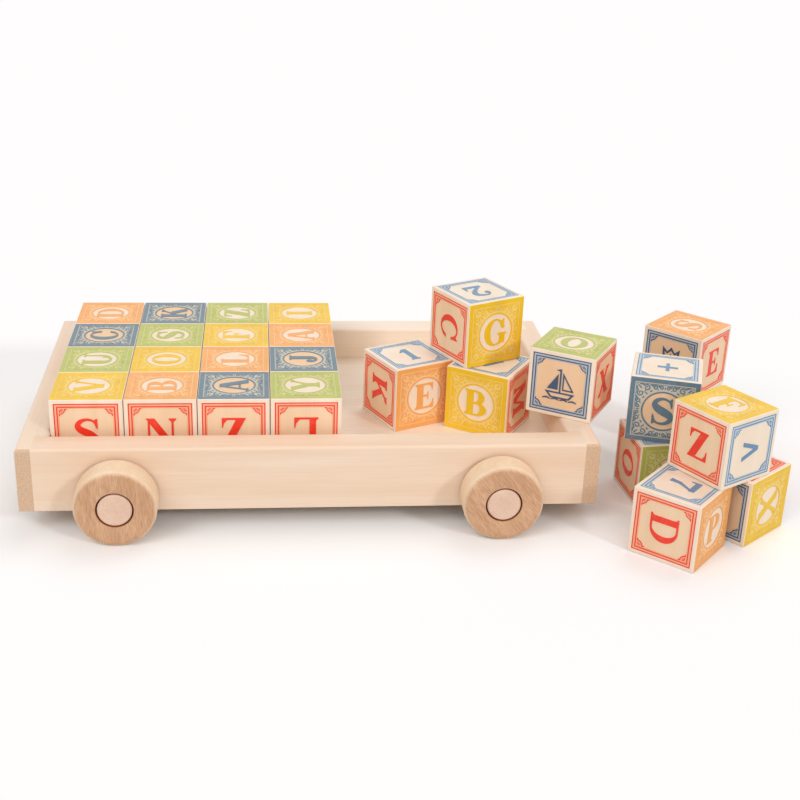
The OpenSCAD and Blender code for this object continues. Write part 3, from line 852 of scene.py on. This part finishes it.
BLOCKS.update({
    "loose_block_right": (-33.1, "yellow", {
        "front": ("colour", "B", 0), "back": ("colour", "M", 0), "right": ("red", "M", 3), "left": ("red", "A", 1),
        "top": ("blue", "4", 2), "bottom": ("navy", "tulip", 0)}),
    "loose_block_left": (25.2, "orange", {
        "front": ("colour", "E", 0), "back": ("colour", "T", 0), "right": ("red", "H", 0), "left": ("red", "K", 3),
        "top": ("blue", "1", 0), "bottom": ("navy", "sprig", 0)}),
    "loose_block_top": (26.8, "yellow", {
        "front": ("colour", "G", 0), "back": ("colour", "R", 0), "right": ("red", "W", 0), "left": ("red", "C", 3),
        "top": ("blue", "2", 2), "bottom": ("navy", "boat", 0)}),
    "edge_block": (-31.8, "green", {
        "top": ("colour", "O", 0), "bottom": ("colour", "P", 0), "right": ("red", "X", 0), "left": ("red", "F", 0),
        "front": ("navy", "boat", 0), "back": ("blue", "5", 0)}),
    "pile_back_low": (-41.0, "blue", {
        "top": ("colour", "D", 0), "bottom": ("colour", "H", 0), "right": ("red", "R", 0), "left": ("red", "U", 0),
        "front": ("blue", "3", 0), "back": ("navy", "tulip", 0)}),
    "pile_back_high": (-45.2, "orange", {
        "top": ("colour", "S", 1), "bottom": ("colour", "V", 0), "right": ("red", "E", 0), "left": ("red", "B", 0),
        "front": ("navy", "tulip", 0), "back": ("blue", "7", 0)}),
    "pile_middle_low": (5.1, "green", {
        "front": ("colour", "H", 1), "back": ("colour", "Y", 0), "left": ("red", "O", 1), "right": ("red", "T", 0),
        "top": ("blue", "=", 0), "bottom": ("navy", "boat", 0)}),
    "pile_middle_high": (-18.6, "blue", {
        "front": ("colour", "S", 0), "back": ("colour", "K", 0), "left": ("red", "J", 0), "right": ("red", "M", 0),
        "top": ("blue", "+", 0), "bottom": ("navy", "sprig", 0)}),
    "pile_front_low_left": (-42.4, "orange", {
        "right": ("colour", "P", 0), "left": ("colour", "A", 0), "front": ("red", "D", 3), "back": ("red", "G", 0),
        "top": ("blue", "7", 3), "bottom": ("navy", "tulip", 0)}),
    "pile_front_low_right": (-51.6, "yellow", {
        "right": ("colour", "X", 1), "left": ("colour", "L", 0), "top": ("red", "V", 0), "bottom": ("red", "Y", 0),
        "front": ("navy", "sprig", 0), "back": ("blue", "2", 0)}),
    "pile_front_high": (-59.8, "yellow", {
        "top": ("colour", "F", 0), "bottom": ("colour", "C", 0), "front": ("red", "Z", 0), "back": ("red", "S", 0),
        "right": ("blue", ">", 0), "left": ("navy", "sprig", 0)}),
})


def make_block(name, yaw, colour, prints, seed):
    low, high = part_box(name)
    place = Matrix.Translation((low + high) / 2) @ Matrix.Rotation(math.radians(yaw), 4, "Z")
    mesh = block_mesh(f"{name}_print", prints, place, seed)
    coat, ground, disc = COLOURS[colour]
    for material in (WOOD_M, coat, ground, disc, *LINES[0], *LINES[1], *LINES[2]):
        mesh.materials.append(material)
    piece = bpy.data.objects.new(f"{name}_printed", mesh)
    bpy.context.scene.collection.objects.link(piece)
    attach(piece, name)
    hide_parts(name)


for seed, (name, (yaw, colour, prints)) in enumerate(BLOCKS.items()):
    make_block(name, yaw, colour, prints, seed)

# ---------------------------------------------------------------- floor, light and camera
FAR = 30.0
FLOOR_SEEN, FLOOR_BOUNCE = (0.995, 0.99, 0.99, 1), (0.76, 0.76, 0.76, 1)
DOME_COLOUR, DOME_STRENGTH = (1, 0.95, 0.92, 1), 0.54
LAMP_COLOUR = (0.94, 0.97, 1.0)
floor_mesh = bpy.data.meshes.new("studio_floor")
floor_mesh.from_pydata([(-FAR, -FAR, 0), (FAR, -FAR, 0), (FAR, FAR, 0), (-FAR, FAR, 0)], [], [(0, 1, 2, 3)])
floor = bpy.data.objects.new("studio_floor", floor_mesh)
bpy.context.scene.collection.objects.link(floor)
# The camera sees the floor a little paler than the light that it sends back
paper = Nodes("studio_floor", 1.0, 0.0)
seen_ray = paper.add("ShaderNodeLightPath").outputs["Is Camera Ray"]
paper.put(paper.shader, "Base Color", paper.mix(seen_ray, FLOOR_BOUNCE, FLOOR_SEEN))
floor_mesh.materials.append(paper.material)

world = bpy.data.worlds.new("studio")
world.use_nodes = True
bpy.context.scene.world = world
tree = world.node_tree
dome = tree.nodes["Background"]
dome.inputs["Color"].default_value = DOME_COLOUR
dome.inputs["Strength"].default_value = DOME_STRENGTH
white = tree.nodes.new("ShaderNodeBackground")
white.inputs["Color"].default_value = (1, 1, 1, 1)
path = tree.nodes.new("ShaderNodeLightPath")
either = tree.nodes.new("ShaderNodeMath")
either.operation = "MAXIMUM"
pick = tree.nodes.new("ShaderNodeMixShader")
tree.links.new(path.outputs["Is Camera Ray"], either.inputs[0])
tree.links.new(path.outputs["Is Glossy Ray"], either.inputs[1])
tree.links.new(either.outputs[0], pick.inputs[0])
tree.links.new(dome.outputs[0], pick.inputs[1])
tree.links.new(white.outputs[0], pick.inputs[2])
tree.links.new(pick.outputs[0], tree.nodes["World Output"].inputs[0])


def soft_sun(name, azimuth, elevation, strength, spread):
    """A large soft light, seen from the object at that azimuth (0 is the front, 90 the right) and elevation."""
    light = bpy.data.lights.new(name, "SUN")
    light.energy = strength
    light.angle = math.radians(spread)
    light.color = LAMP_COLOUR
    lamp = bpy.data.objects.new(name, light)
    bpy.context.scene.collection.objects.link(lamp)
    a, e = math.radians(azimuth), math.radians(elevation)
    towards = Vector((math.sin(a) * math.cos(e), -math.cos(a) * math.cos(e), math.sin(e)))
    lamp.rotation_euler = towards.to_track_quat("Z", "Y").to_euler()


soft_sun("front_left", -46, 42, 0.84, 34)
soft_sun("front", 0, 38, 0.30, 40)
soft_sun("front_right", 42, 27, 0.76, 9)
soft_sun("back", 142, 60, 0.55, 36)

LENS, SENSOR = 59.81, 36.0
FRAME_PX, MIDDLE_PX = 800, 399.3      # the photo's width, and where its optical axis meets it
EYE = Vector((-0.09277, -0.82275, 0.4052))
PITCH, YAW, ROLL = (math.radians(a) for a in (23.39, -6.46, 2.23))
forward = Vector((-math.sin(YAW) * math.cos(PITCH), math.cos(YAW) * math.cos(PITCH), -math.sin(PITCH)))
level_right = Vector((math.cos(YAW), math.sin(YAW), 0))
level_up = level_right.cross(forward)
right = math.cos(ROLL) * level_right + math.sin(ROLL) * level_up
upward = -math.sin(ROLL) * level_right + math.cos(ROLL) * level_up
cam_data = bpy.data.cameras.new("photo_view")
cam_data.lens, cam_data.sensor_width = LENS, SENSOR
cam_data.sensor_fit = "HORIZONTAL"
cam_data.shift_x = (FRAME_PX / 2 - MIDDLE_PX) / FRAME_PX
cam_data.clip_start, cam_data.clip_end = 0.01, 60
camera = bpy.data.objects.new("photo_view", cam_data)
bpy.context.scene.collection.objects.link(camera)
camera.matrix_world = Matrix.Translation(EYE) @ Matrix((right, upward, -forward)).transposed().to_4x4()
bpy.context.scene.camera = camera

bpy.context.scene.view_settings.view_transform = "Standard"

bpy.context.view_layer.update()
